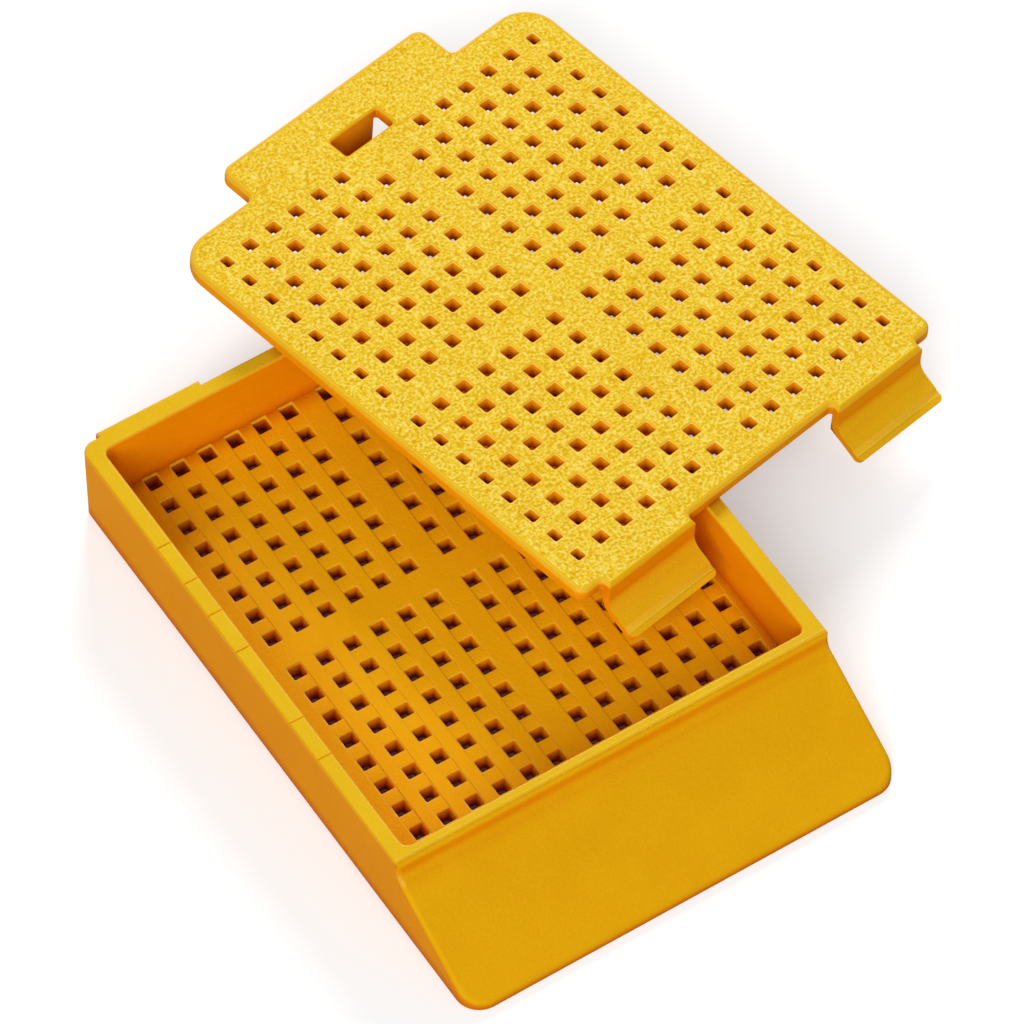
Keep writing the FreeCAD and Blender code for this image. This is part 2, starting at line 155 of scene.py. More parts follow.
class CassetteTraySettings(bpy.types.PropertyGroup):
    """Sizes of the tray in millimetres."""
    width: size("Width", "Outside width", 28.5)
    height: size("Height", "From the ground to the rim", 5.7)
    back: size("Back", "Back wall's face, behind the origin", 20.38)
    pads: size("Pads", "Face of the two flat pads on the back wall", 20.7)
    pad_inner: size("Pad inner", "Inner end of each pad, from the middle", 6.1)
    pad_outer: size("Pad outer", "Outer end of each pad, from the middle", 12.9)
    nib_side: size("Nib side", "Half of the width of the nib that holds the lid's catch", 1.9)
    nib_bottom: size("Nib bottom", "Underside of the nib", 3.95)
    nib_top: size("Nib top", "Top of the nib", 4.65)
    nib_reach: size("Nib reach", "How far the nib stands out of the back wall", 0.3)
    front: size("Front", "Front wall's face, before the origin", -13.3)
    nose: size("Nose", "Foremost edge of the writing face", -20.7)
    nose_height: size("Nose height", "Height of the writing face at its foremost edge", 0.47)
    face_top: size("Face top", "Height at which the writing face meets the front wall", 4.55)
    face_blend: size("Face blend", "Hollow rounding between writing face and front wall", 0.7)
    face_edge: size("Face edge", "Rounding of the writing face's outer edges", 0.3)
    nose_corner: size("Nose corner", "Rounding of the front corners seen from above", 1.5)
    back_corner: size("Back corner", "Rounding of the back corners seen from above", 0.9)
    well_side: size("Well side", "Inside of the side walls, from the middle", 13.18)
    well_front: size("Well front", "Inside of the front wall", -12.4)
    well_back: size("Well back", "Inside of the back wall", 19.4)
    well_corner: size("Well corner", "Rounding of the well's upright corners", 0.5)
    floor: size("Floor", "Thickness of the perforated floor", 1.0)
    rim: size("Rim", "Rounding of the rim's edges", 0.16)
    mark_depth: size("Mark depth", "Depth of the faint marks across the left wall", 0.05)
    mark_side: size("Mark side", "Half of the width of a mark", 0.07)
    skin: size("Skin", "Height of the hollow under the writing face", 3.408)
    window_inner: size("Window inner", "Inner side of each hook window", 5.6)
    window_outer: size("Window outer", "Outer side of each hook window", 12.8)
    window_bottom: size("Window bottom", "Lower edge of the hook windows", 3.01)
    window_depth: size("Window depth", "How far the windows reach from the well", 1.95)
    window_roof: size("Window roof", "From the windows up to the writing face", 0.3426)
    grid_middle: size("Grid middle", "Middle of the floor's grid, behind the origin", 4.8)
    hole: size("Hole", "Side of a square hole at the top", 0.85)
    first_column: size("First column", "First holes from the grid's middle, across", 1.27)
    first_row: size("First row", "First holes from the grid's middle, along", 1.365)
    draft: size("Draft", "How much a hole narrows on each side from top to bottom", 0.11)
    trench: size("Trench", "How far the cross ribs lie below the long ribs", 0.04)
    mouth: size("Mouth", "Rounding round the top of each hole", 0.07)


class CassetteLidSettings(bpy.types.PropertyGroup):
    """Sizes of the lid in millimetres, from the middle of its grid and its underside."""
    side: size("Side", "Half of the plate's width", 14.22)
    front: size("Front", "Front edge of the plate", -16.34)
    back: size("Back", "Back edge of the plate", 16.55)
    thickness: size("Thickness", "Thickness of the plate", 0.9)
    front_corner: size("Front corner", "Rounding of the plate's front corners", 0.7)
    back_corner: size("Back corner", "Rounding of the plate's back corners", 2.2)
    edge: size("Edge", "Rounding round the top of the plate", 0.32)
    tab_side: size("Tab side", "Half of the finger tab's width", 8.05)
    tab_back: size("Tab back", "Back edge of the finger tab", 19.29)
    tab_corner: size("Tab corner", "Rounding of the tab's corners", 0.8)
    tab_notch: size("Tab notch", "Hollow rounding where the tab leaves the plate", 0.4)
    hole: size("Hole", "Side of a square hole at the top", 0.80)
    side_hole: size("Side hole", "Width of the holes in the outer columns", 0.6)
    end_hole: size("End hole", "Length of the holes in the outer rows", 0.75)
    draft: size("Draft", "How much a hole narrows on each side from top to bottom", 0.2)
    first_column: size("First column", "First holes from the grid's middle, across", 1.385)
    first_row: size("First row", "First holes from the grid's middle, along", 1.40)
    rib_inner: size("Rib inner", "Inner face of the rib along each side", 12.65)
    rib_outer: size("Rib outer", "Outer face of the rib along each side", 13.05)
    rib_depth: size("Rib depth", "How far the ribs hang down", 1.03)
    hook_inner: size("Hook inner", "Inner side of each front hook", 5.8)
    hook_outer: size("Hook outer", "Outer side of each front hook", 12.6)
    hook_face: size("Hook face", "Front of the hook's upright leg", -17.0)
    hook_thickness: size("Hook thickness", "Thickness of the hook", 0.5)
    hook_tip: size("Hook tip", "Foremost edge of the hook's tip", -19.05)
    hook_corner: size("Hook corner", "Rounding of the tip's corners", 0.38)
    hook_drop: size("Hook drop", "Where the hook's leg bends into its tip", -1.0)
    hook_slope: angle("Hook slope", "How steeply the tip falls", 27.0)
    bend_inner: size("Bend inner", "Hollow rounding before the hook's leg", 0.9)
    bend_outer: size("Bend outer", "Rounding behind the hook's leg", 1.4)
    trough: size("Trough", "Depth of the shallow trough behind the tip's bead", 0.06)
    trough_round: size("Trough round", "Radius of the trough", 0.6)
    trough_middle: size("Trough middle", "From the tip to the middle of the trough", 0.56)
    hook_notch: size("Hook notch", "Hollow rounding where a hook leaves the plate", 0.3)
    hook_edge: size("Hook edge", "Rounding of the edges of hooks and ribs", 0.1)
    rib_front: size("Rib front", "Front end of the ribs", -13.84)
    rib_back: size("Rib back", "Back end of the ribs", 14.05)
    slot_width: size("Slot width", "Width of the slot before the tab", 3.8)
    slot_length: size("Slot length", "Length of the slot before the tab", 1.47)
    slot_edge: size("Slot edge", "Rounding round the top of the slot", 0.16)
    slot_corner: size("Slot corner", "Rounding of the slot's upright corners", 0.2)
    catch_side: size("Catch side", "Half of the snap catch's width", 1.75)
    catch_thickness: size("Catch thickness", "Thickness of the catch's leg", 0.7)
    catch_bottom: size("Catch bottom", "Lower end of the catch", -2.6)
    lip_top: size("Lip top", "Top of the catch's wedge", -1.9)
    lip_reach: size("Lip reach", "How far the wedge points forward", 0.95)
    catch_edge: size("Catch edge", "Rounding of the catch's edges", 0.06)
    rest_edge: FloatVectorProperty(
        name="Rest edge", description="Middle of the tray's edge that the lid leans on, in mm",
        default=(14.25, 0.0, 5.73))
    rest_shift: FloatVectorProperty(
        name="Rest shift", description="Middle of the lid, from that edge, in millimetres",
        default=(-0.4, 14.33, 0.0))
    rest_tilt: angle("Rest tilt", "How far the lid leans over the tray's edge", 4.0884)
    rest_turn: angle("Rest turn", "How far the lid is turned on the tray", 12.0)


class CassetteGridSettings(bpy.types.PropertyGroup):
    """What the holes of tray and lid have in common, in millimetres."""
    pitch: size("Pitch", "From one hole to the next", 1.82)
    columns: IntProperty(name="Columns", description="Columns of holes per half", default=7)
    rows: IntProperty(name="Rows", description="Rows of holes per half", default=8)
    mouth: size("Mouth", "Rounding round the mouth of each hole", 0.12)
    corner: size("Corner", "Rounding of each hole's upright corners", 0.08)


class CassettePlasticSettings(bpy.types.PropertyGroup):
    """Colours and grain of the moulded plastic, with painted light and shade in several colours.
    """
    # flank, slope, lid_slope, crown and lid_crown are lit and shaded versions of one plastic:
    # painted shade on faces that stand or lean, painted light on level faces
    flank: colour("Flank", "Faces that stand upright", (0.92, 0.335, 0.001))
    slope: colour("Slope", "Faces that lean, such as the writing face", (0.85, 0.425, 0.003))
    lid_slope: colour("Lid slope", "Roundings and hooks of the lid", (0.90, 0.49, 0.008))
    crown: colour("Crown", "Level faces", (0.82, 0.50, 0.011))
    # painted highlight: pale yellow on the rounded mouths of the lid's holes, where light catches
    # them
    lid_mouth_highlight: colour("Lid mouth", "Polished mouths of the lid's holes", (0.98, 0.80, 0.15))
    lid_crown: colour("Lid crown", "The grained top of the lid", (0.92, 0.62, 0.022))
    # painted shade: the floor's level faces are a deeper orange for the shade down in the well
    floor_crown: colour("Floor crown", "The floor inside the tray", (0.95, 0.46, 0.003))
    # painted shade: hollows closed in by nearby walls are darkened to deep red
    hollow: colour("Hollow", "What deep hollows keep of the colour", (0.26, 0.0, 0.0))
    half_hollow_shade: colour("Half hollow", "What half open hollows keep of the colour",
                        (0.76, 0.42, 0.25))
    # painted shade: a hole's walls darken from the mouth towards the bottom
    depth: colour("Depth", "What the bottom of a hole keeps of the colour", (0.22, 0.0, 0.0))
    half_depth_shade: colour("Half depth", "What the middle of a hole's wall keeps of the colour",
                       (0.78, 0.17, 0.08))
    brink_shade: colour("Brink", "What a hole's wall keeps of the colour at its mouth",
                  (1.0, 0.95, 0.9))
    cloud: colour("Cloud", "What the faint clouds keep of the colour", (0.97, 0.93, 0.87))
    cloud_scale: number("Cloud scale", "How fine the faint clouds are", 300.0)
    # reach of the painted shade in hollows and holes
    shade_reach: metres("Hollow reach", "How near walls stand that deepen the colour", 0.0012)
    grain_scale: number("Grain scale", "How fine the grain is", 5600.0)
    satin: size("Satin", "Height of the grain on smooth faces", 0.03)
    grain: size("Grain", "Height of the grain on the lid's top", 0.10)
    edge_shine: share("Edge shine", "Gloss of rounded edges, which the mould polishes", 0.25)
    # the grain's random tone, with its tops painted paler as glints and its hollows darker as
    # shade
    sparkle: share("Sparkle", "How much paler the lid's grain is on its tops", 0.32)


def focus(piece):
    """Makes one piece the only selected and active one."""
    bpy.ops.object.select_all(action="DESELECT")
    piece.select_set(True)
    bpy.context.view_layer.objects.active = piece


def apply_modifier(piece, kind, **settings):
    """Adds a modifier with these settings to a piece and applies it."""
    modifier = piece.modifiers.new(kind, kind)
    for name, value in settings.items():
        setattr(modifier, name, value)
    focus(piece)
    bpy.ops.object.modifier_apply(modifier=modifier.name)


def block(name, low, high):
    """A block between two opposite corners."""
    bpy.ops.object.select_all(action="DESELECT")
    middle = [(start + end) / 2 * MM for start, end in zip(low, high)]
    sides = [(end - start) * MM for start, end in zip(low, high)]
    bpy.ops.mesh.primitive_cube_add(size=1.0, location=middle, scale=sides)
    bpy.ops.object.transform_apply()
    bpy.context.object.name = name
    return bpy.context.object


def choose(piece, kind, chosen):
    """Opens a piece with those faces, or sharp edges, selected whose points are as asked."""
    focus(piece)
    bpy.ops.object.mode_set(mode="EDIT")
    bpy.ops.mesh.select_mode(type=kind)
    if kind == "EDGE":
        bpy.ops.mesh.select_all(action="DESELECT")
        bpy.ops.mesh.edges_select_sharp(sharpness=FLAT)
    else:
        bpy.ops.mesh.select_all(action="SELECT")
    bpy.ops.object.mode_set(mode="OBJECT")
    mesh = piece.data
    items = mesh.edges if kind == "EDGE" else mesh.polygons
    wanted = [item.index for item in items if item.select
              and chosen([mesh.vertices[index].co / MM for index in item.vertices])]
    if not wanted:
        raise RuntimeError(f"{piece.name}: nothing is found to shape")
    bpy.ops.object.mode_set(mode="EDIT")
    bpy.ops.mesh.select_all(action="DESELECT")
    bpy.ops.object.mode_set(mode="OBJECT")
    for index in wanted:
        items[index].select = True
    bpy.ops.object.mode_set(mode="EDIT")


def close(piece):
    """Leaves edit mode with every point of the piece selected again."""
    bpy.ops.mesh.select_all(action="SELECT")
    bpy.ops.object.mode_set(mode="OBJECT")


def round_edges(piece, radius, segments, chosen):
    """Rounds those edges of a piece whose points are as asked."""
    choose(piece, "EDGE", chosen)
    bpy.ops.mesh.bevel(offset=radius * MM, segments=segments, profile=0.5, affect="EDGES",
                       clamp_overlap=False)
    close(piece)


def shift_edges(piece, step, chosen):
    """Moves those edges of a piece whose points are as asked."""
    choose(piece, "EDGE", chosen)
    bpy.ops.transform.translate(value=[part * MM for part in step])
    close(piece)


def soften(piece, radius, sharper):
    """Rounds every edge of a piece that is sharper than an angle."""
    apply_modifier(piece, "BEVEL", width=radius * MM, segments=FINE, limit_method="ANGLE",
                   angle_limit=sharper, use_clamp_overlap=True)


def merge_flat(piece):
    """Takes out the edges inside flat faces."""
    focus(piece)
    bpy.ops.object.mode_set(mode="EDIT")
    bpy.ops.mesh.select_all(action="SELECT")
    bpy.ops.mesh.remove_doubles(threshold=TINY)
    bpy.ops.mesh.dissolve_limited(angle_limit=STRAIGHT)
    close(piece)


def cut_slope(piece, point, normal):
    """Cuts away what lies beyond a plane and closes the cut."""
    focus(piece)
    bpy.ops.object.mode_set(mode="EDIT")
    bpy.ops.mesh.select_all(action="SELECT")
    bpy.ops.mesh.bisect(plane_co=[part * MM for part in point], plane_no=normal,
                        use_fill=True, clear_outer=True, threshold=TINY)
    close(piece)


def combine(piece, other, operation):
    """Joins another piece to this one or cuts it out, and takes the other away."""
    before = len(piece.data.polygons)
    apply_modifier(piece, "BOOLEAN", operation=operation, solver="MANIFOLD", object=other)
    bpy.data.objects.remove(other, do_unlink=True)
    if len(piece.data.polygons) == before:
        raise RuntimeError(f"{piece.name}: {operation} changes nothing")


def mirrored(piece, along=False):
    """Adds the piece's twin on the other side, and behind too if asked."""
    apply_modifier(piece, "MIRROR", use_axis=(True, along, False), use_mirror_merge=False)
    return piece


def repeated(piece, step, counts):
    """Repeats the piece at the holes' pitch, across and along."""
    for count, shift in zip(counts, ((step * MM, 0.0, 0.0), (0.0, step * MM, 0.0))):
        if count > 1:
            apply_modifier(piece, "ARRAY", count=count, use_relative_offset=False,
                           use_constant_offset=True, constant_offset_displace=shift)
    return piece


def hole_cutter(name, middle, width, length, low, high, corner, mouths, draft=0.0, past=PAST):
    """A post that cuts one hole with rounded upright corners and rounded mouths.

    width and length are those of its bottom, mouths gives the rounding at the bottom and at
    the top, draft how much wider it is at the top on each side, and past how far the post
    reaches below the surface.
    """
    bottom, top = mouths
    rings = [(low - past, bottom)]
    rings += [(low + bottom * (1 - math.sin(turn)), bottom * (1 - math.cos(turn)))
              for turn in QUARTER]
    rings += [(high - top * (1 - math.sin(turn)), top * (1 - math.cos(turn)) + draft)
              for turn in reversed(QUARTER)]
    rings.append((high + PAST, top + draft))
    rings = [rings[0]] + [ring for ring, last in zip(rings[1:], rings)
                          if ring[0] > last[0] + NEAR / 10]
    steps = [(height * MM, (width / 2 + wider) * MM, (length / 2 + wider) * MM)
             for height, wider in rings]
    x, y = middle[0] * MM, middle[1] * MM
    start, across, along = steps[0]
    bpy.ops.object.select_all(action="DESELECT")
    bpy.ops.mesh.primitive_plane_add(size=2.0, location=(x, y, start))
    post = bpy.context.object
    post.name = name
    post.scale = (across, along, 1.0)
    bpy.ops.object.transform_apply()
    bpy.ops.object.mode_set(mode="EDIT")
    bpy.ops.mesh.select_all(action="SELECT")
    bpy.ops.mesh.bevel(offset=corner * MM, segments=POST, affect="VERTICES")
    for (last, old_across, old_along), (height, across, along) in zip(steps, steps[1:]):
        bpy.ops.mesh.extrude_region_move(
            TRANSFORM_OT_translate={"value": (0.0, 0.0, height - last)})
        bpy.ops.transform.resize(value=(across / old_across, along / old_along, 1.0),
                                 center_override=(x, y, height))
    bpy.ops.mesh.select_all(action="SELECT")
    bpy.ops.mesh.normals_make_consistent(inside=False)
    close(post)
    return post


def moved(piece, step):
    """Shifts a piece and keeps its own place at the origin."""
    piece.location = [part * MM for part in step]
    focus(piece)
    bpy.ops.object.transform_apply()
    return piece


def at(**places):
    """A test: do all points lie at the given x, y or z, with x taken on either side?"""
    def test(points):
        return all(abs((abs(point.x) if axis == "x" else getattr(point, axis)) - place) < NEAR
                   for point in points for axis, place in places.items())
    return test


def is_upright(ends):
    """Whether an edge stands straight up."""
    return abs(ends[0].x - ends[1].x) < NEAR and abs(ends[0].y - ends[1].y) < NEAR


def upright_at(x, y):
    """A test: does an edge stand straight up at the given x and y?"""
    return lambda ends: is_upright(ends) and at(x=x, y=y)(ends)


def is_face_rim(points, tray):
    """Whether an edge bounds the writing face, along its sides or round its nose."""
    half, fall = tray.width / 2, (tray.face_top - tray.nose_height) / (tray.front - tray.nose)
    before = all(point.y < tray.front + NEAR for point in points)
    raised = all(point.z > tray.nose_height - NEAR for point in points)
    beside = all(abs(abs(point.x) - half) < NEAR for point in points)
    on_slope = all(abs(point.z - tray.face_top - fall * (point.y - tray.front)) < NEAR
                   for point in points)
    round_nose = on_slope and all(point.y < tray.nose + tray.nose_corner + NEAR
                                  for point in points)
    return before and raised and (beside or round_nose and not is_upright(points))


def make_tray_shell(tray, grid):
    """The tray without its holes: box, writing face, pads, well, hollow and windows."""
    half = tray.width / 2
    shell = block("tray_shell", (-half, tray.front, 0.0), (half, tray.back, tray.height))
    round_edges(shell, tray.back_corner, CORNER, upright_at(half, tray.back))

    nose = block("nose", (-half, tray.nose, 0.0),
                 (half, tray.front + NOSE_OVERLAP, tray.height - NOSE_BELOW))
    round_edges(nose, tray.nose_corner, BROAD, upright_at(half, tray.nose))
    fall = (tray.face_top - tray.nose_height) / (tray.front - tray.nose)
    cut_slope(nose, (0.0, tray.front, tray.face_top), (0.0, -fall, 1.0))
    combine(shell, nose, "UNION")
    merge_flat(shell)
    blend = tray.face_blend * math.tan((math.pi / 2 - math.atan(fall)) / 2)
    round_edges(shell, blend, CORNER, at(y=tray.front, z=tray.face_top))
    round_edges(shell, tray.face_edge, EDGE, lambda ends: is_face_rim(ends, tray))

    pad = block("pad", (tray.pad_inner, tray.back - PAST, 0.0),
                (tray.pad_outer, tray.pads, tray.height))
    combine(shell, mirrored(pad), "UNION")
    well = block("well", (-tray.well_side, tray.well_front, tray.floor),
                 (tray.well_side, tray.well_back, tray.height + PAST))
    round_edges(well, tray.well_corner, CORNER, is_upright)
    combine(shell, well, "DIFFERENCE")
    merge_flat(shell)
    round_edges(shell, tray.rim, RIM, at(z=tray.height))

    hollow = block("hollow", (-tray.well_side, tray.nose, -PAST),
                   (tray.well_side, tray.front, tray.height))
    cut_slope(hollow, (0.0, tray.front, tray.skin), (0.0, -fall, 1.0))
    combine(shell, hollow, "DIFFERENCE")
    window = block("window",
                   (tray.window_inner, tray.well_front - tray.window_depth, tray.window_bottom),
                   (tray.window_outer, tray.well_front + PAST, tray.height))
    cut_slope(window, (0.0, tray.front, tray.face_top - tray.window_roof), (0.0, -fall, 1.0))
    combine(shell, mirrored(window), "DIFFERENCE")
    nib = block("nib", (-tray.nib_side, tray.back - PAST, tray.nib_bottom),
                (tray.nib_side, tray.back + tray.nib_reach, tray.nib_top))
    cut_slope(nib, (0.0, tray.back, tray.nib_top),
              (0.0, tray.nib_top - tray.nib_bottom, tray.nib_reach))
    combine(shell, nib, "UNION")
    mark_rim(shell, tray)
    drill_tray(shell, tray, grid)
    return shell


def mark_rim(shell, tray):
    """Faint marks across the top of the left wall."""
    bottom = tray.height - tray.mark_depth
    for along in RIM_MARKS:
        mark = block("mark", (-tray.width / 2 - PAST, along - tray.mark_side, bottom),
                     (-tray.well_side + PAST, along + tray.mark_side, tray.height + PAST))
        for flank in MARK_FLANKS:
            cut_slope(mark, (0.0, along, bottom), flank)
        combine(shell, mark, "DIFFERENCE")


def drill_tray(shell, tray, grid):
    """Sinks the cross ribs of the floor a little and cuts its holes."""
    low = tray.floor - tray.trench
    last_row = tray.first_row + (grid.rows - 1) * grid.pitch
    width = tray.hole + 2 * tray.mouth
    trench = hole_cutter("trench", (tray.first_column, (tray.first_row + last_row) / 2), width,
                         last_row - tray.first_row + width, low, tray.floor, grid.corner,
                         (0.0, tray.trench), past=0.0)
    trench = mirrored(repeated(trench, grid.pitch, (grid.columns, 1)), True)
    combine(shell, moved(trench, (0.0, tray.grid_middle, 0.0)), "DIFFERENCE")
    narrow = tray.hole - 2 * tray.draft
    post = hole_cutter("post", (tray.first_column, tray.first_row), narrow, narrow,
                       0.0, low, grid.corner, (grid.mouth, tray.mouth), tray.draft)
    post = mirrored(repeated(post, grid.pitch, (grid.columns, grid.rows)), True)
    combine(shell, moved(post, (0.0, tray.grid_middle, 0.0)), "DIFFERENCE")


def make_lid_plate(lid, grid):
    """The lid without its holes: plate, tab, hooks, ribs and catch, in its own frame."""
    top = lid.thickness
    plate = block("lid_plate", (-lid.side, lid.front, 0.0), (lid.side, lid.back, top))
    round_edges(plate, lid.front_corner, CORNER, upright_at(lid.side, lid.front))
    round_edges(plate, lid.back_corner, BROAD, upright_at(lid.side, lid.back))
    tab = block("tab", (-lid.tab_side, lid.back - OVERLAP, 0.0),
                (lid.tab_side, lid.tab_back, top))
    round_edges(tab, lid.tab_corner, CORNER, upright_at(lid.tab_side, lid.tab_back))
    combine(plate, tab, "UNION")
    merge_flat(plate)
    round_edges(plate, lid.tab_notch, NOTCH, upright_at(lid.tab_side, lid.back))
    root = block("root", (lid.hook_inner, lid.hook_face, 0.0),
                 (lid.hook_outer, lid.front + OVERLAP, top))
    combine(plate, mirrored(root), "UNION")
    merge_flat(plate)
    for side in (lid.hook_inner, lid.hook_outer):
        round_edges(plate, lid.hook_notch, NOTCH, upright_at(side, lid.front))
    round_edges(plate, lid.edge, NOTCH, at(z=top))
    round_edges(plate, lid.hook_edge, FINE, at(z=0.0))
    for part in (mirrored(make_hook(lid)), make_ribs(lid)):
        combine(plate, part, "UNION")
    merge_flat(plate)
    drill_lid(plate, lid, grid)
    combine(plate, make_catch(lid), "UNION")
    return plate


def make_hook(lid):
    """One front hook: an upright leg that bends forward into a sloping tip."""
    drop, slope = lid.hook_drop, lid.hook_slope
    back = lid.hook_face + lid.hook_thickness
    turn = math.tan((math.pi / 2 - slope) / 2)
    heel = drop - lid.hook_thickness * turn
    tip = (lid.hook_tip, drop + (lid.hook_tip - lid.hook_face) * math.tan(slope))
    foot = (tip[0] + lid.hook_thickness * math.sin(slope),
            tip[1] - lid.hook_thickness * math.cos(slope))
    hook = block("hook", (lid.hook_inner, lid.hook_face, drop),
                 (lid.hook_outer, back, lid.thickness / 3))
    shift_edges(hook, (0.0, 0.0, heel - drop), at(y=back, z=drop))
    choose(hook, "FACE", lambda corners: all(corner.z < drop + NEAR for corner in corners))
    step = lid.hook_thickness
    bpy.ops.mesh.extrude_region_move(
        TRANSFORM_OT_translate={"value": (0.0, -step * MM, -step * MM)})
    close(hook)
    for y, z, (end_y, end_z) in ((lid.hook_face, drop, tip), (back, heel, foot)):
        shift_edges(hook, (0.0, end_y - y + step, end_z - z + step),
                    at(y=y - step, z=z - step))
    round_edges(hook, lid.hook_corner, CORNER,
                lambda ends: abs(ends[0].x - ends[1].x) < NEAR
                and all(end.y < foot[0] + NEAR for end in ends))
    combine(hook, trough_cutter(lid, tip), "DIFFERENCE")
    round_edges(hook, lid.bend_inner * turn, BEND, at(y=lid.hook_face, z=drop))
    round_edges(hook, lid.bend_outer * turn, BEND, at(y=back, z=heel))
    soften(hook, lid.hook_edge, SQUARE)
    return hook


def trough_cutter(lid, tip):
    """A rod that cuts the shallow trough along the top of a hook's sloping tip."""
    slope = lid.hook_slope
    along = Vector((0.0, math.cos(slope), math.sin(slope)))
    above = Vector((0.0, -math.sin(slope), math.cos(slope)))
    middle = (Vector(((lid.hook_inner + lid.hook_outer) / 2, *tip)) + along * lid.trough_middle
              + above * (lid.trough_round - lid.trough))
    bpy.ops.object.select_all(action="DESELECT")
    bpy.ops.mesh.primitive_cylinder_add(
        vertices=ROD, radius=lid.trough_round * MM, location=middle * MM,
        depth=(lid.hook_outer - lid.hook_inner + 2 * PAST) * MM, rotation=(0.0, math.pi / 2, 0.0))
    bpy.ops.object.transform_apply()
    return bpy.context.object


def make_ribs(lid):
    """The two long ribs under the lid."""
    rib = block("rib", (lid.rib_inner, lid.rib_front, -lid.rib_depth),
                (lid.rib_outer, lid.rib_back, lid.thickness / 3))
    soften(rib, lid.hook_edge, SQUARE)
    return mirrored(rib)


def make_catch(lid):
    """The snap catch behind the slot: a leg with a blunt wedge that points forward."""
    catch = block("catch", (-lid.catch_side, lid.back, lid.catch_bottom),
                  (lid.catch_side, lid.back + lid.catch_thickness, lid.thickness / 2))
    lip = block("lip", (-lid.catch_side, lid.back - lid.lip_reach, lid.catch_bottom),
                (lid.catch_side, lid.back + lid.catch_thickness / 2, lid.lip_top))
    cut_slope(lip, (0.0, lid.back, lid.catch_bottom), WEDGE)
    combine(catch, lip, "UNION")
    merge_flat(catch)
    soften(catch, lid.catch_edge, BLUNT)
    return catch


def drill_lid(plate, lid, grid):
    """Cuts the lid's holes and its slot."""
    first_x, first_y, pitch = lid.first_column, lid.first_row, grid.pitch
    side, end = first_x + (grid.columns - 1) * pitch, first_y + (grid.rows - 1) * pitch
    fields = (
        (first_x, first_y, lid.hole, lid.hole, (grid.columns - 1, grid.rows - 1), True),
        (side, first_y, lid.side_hole, lid.hole, (1, grid.rows - 1), True),
        (first_x + pitch, end, lid.hole, lid.end_hole, (grid.columns - 2, 1), True),
        (side, end, lid.side_hole, lid.end_hole, (1, 1), True),
        (first_x, -end, lid.hole, lid.end_hole, (1, 1), False))
    for x, y, width, length, counts, both_ways in fields:
        post = hole_cutter("post", (x, y), width - 2 * lid.draft, length - 2 * lid.draft, 0.0,
                           lid.thickness, grid.corner, (grid.mouth, grid.mouth), lid.draft)
        combine(plate, mirrored(repeated(post, pitch, counts), both_ways), "DIFFERENCE")
    slot = hole_cutter("slot", (0.0, lid.back - lid.slot_length / 2), lid.slot_width,
                       lid.slot_length, 0.0, lid.thickness, lid.slot_corner,
                       (lid.hook_edge, lid.slot_edge))
    combine(plate, slot, "DIFFERENCE")


def put_on(piece, material):
    """Gives all of a piece one material."""
    piece.data.materials.clear()
    piece.data.materials.append(material)


def use(piece, material, chosen):
    """Gives those faces of a piece whose corners are as asked another material."""
    piece.data.materials.append(material)
    choose(piece, "FACE", chosen)
    piece.active_material_index = len(piece.data.materials) - 1
    bpy.ops.object.material_slot_assign()
    close(piece)


def is_rounding(corners, widest):
    """Whether a face is one of the narrow strips that round an edge and face up."""
    sides = [start - end for start, end in zip(corners, corners[1:] + corners[:1])]
    across = sides[0].cross(sides[1])
    upward = across.z / max(across.length, NEAR * NEAR)
    heights = [corner.z for corner in corners]
    return (len(corners) == 4 and min(side.length for side in sides) < widest
            and max(heights) - min(heights) < STRIP_RISE
            and STRIP_FACING[0] < upward < STRIP_FACING[1])


def is_hole_wall(corners, top, side, front, back):
    """Whether a face stands in a hole: between underside and top, inside the given edges."""
    heights = [corner.z for corner in corners]
    return (min(heights) > -NEAR and max(heights) < top + NEAR
            and max(heights) - min(heights) > WALL_RISE
            and all(abs(corner.x) < side and front < corner.y < back for corner in corners))


def shade(piece):
    """Smooth shading over roundings, with flat faces kept flat."""
    focus(piece)
    bpy.ops.object.shade_smooth_by_angle(angle=CREASED)
    apply_modifier(piece, "WEIGHTED_NORMAL", keep_sharp=True, weight=BY_AREA)


def finish(piece, body, node):
    """Puts a finished piece on its body, in the place of the node it stands for."""
    shade(piece)
    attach(piece, body)
    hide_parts(node)


def resting_place(lid):
    """Where the turned and tipped lid lies, from its own frame."""
    tipped = (Matrix.Translation(Vector(lid.rest_edge) * MM)
              @ Matrix.Rotation(lid.rest_tilt, 4, "Y"))
    turned = (Matrix.Translation(Vector(lid.rest_shift) * MM)
              @ Matrix.Rotation(lid.rest_turn, 4, "Z"))
    return tipped @ turned


class CASSETTE_OT_tray(bpy.types.Operator):
    """Model the tray"""
    bl_idname = "cassette.tray"
    bl_label = "Tray"

    def execute(self, context):
        scene = context.scene
        tray, paint = scene.cassette_tray, scene.cassette_plastic
        shell = make_tray_shell(tray, scene.cassette_grid)
        put_on(shell, plastic("tray_satin", paint, paint.slope, paint.crown, paint.satin))
        # painted shade darkening the hole walls towards the bottom
        use(shell,
            plastic("tray_shaded_hole_walls", paint, paint.slope, paint.crown, paint.satin, deep=True),
            lambda corners: is_hole_wall(corners, tray.floor, tray.well_side - PAST,
                                         tray.well_front + PAST, tray.well_back - PAST))
        use(shell, plastic("tray_floor", paint, paint.slope, paint.floor_crown, paint.satin),
            lambda corners: all(abs(corner.z - tray.floor) < FLOOR_BAND for corner in corners))
        use(shell, plastic("tray_edges", paint, paint.slope, paint.crown, paint.satin,
                           shine=paint.edge_shine),
            lambda corners: is_rounding(corners, EDGE_STRIP))
        finish(shell, "tray", "tray")
        return {"FINISHED"}


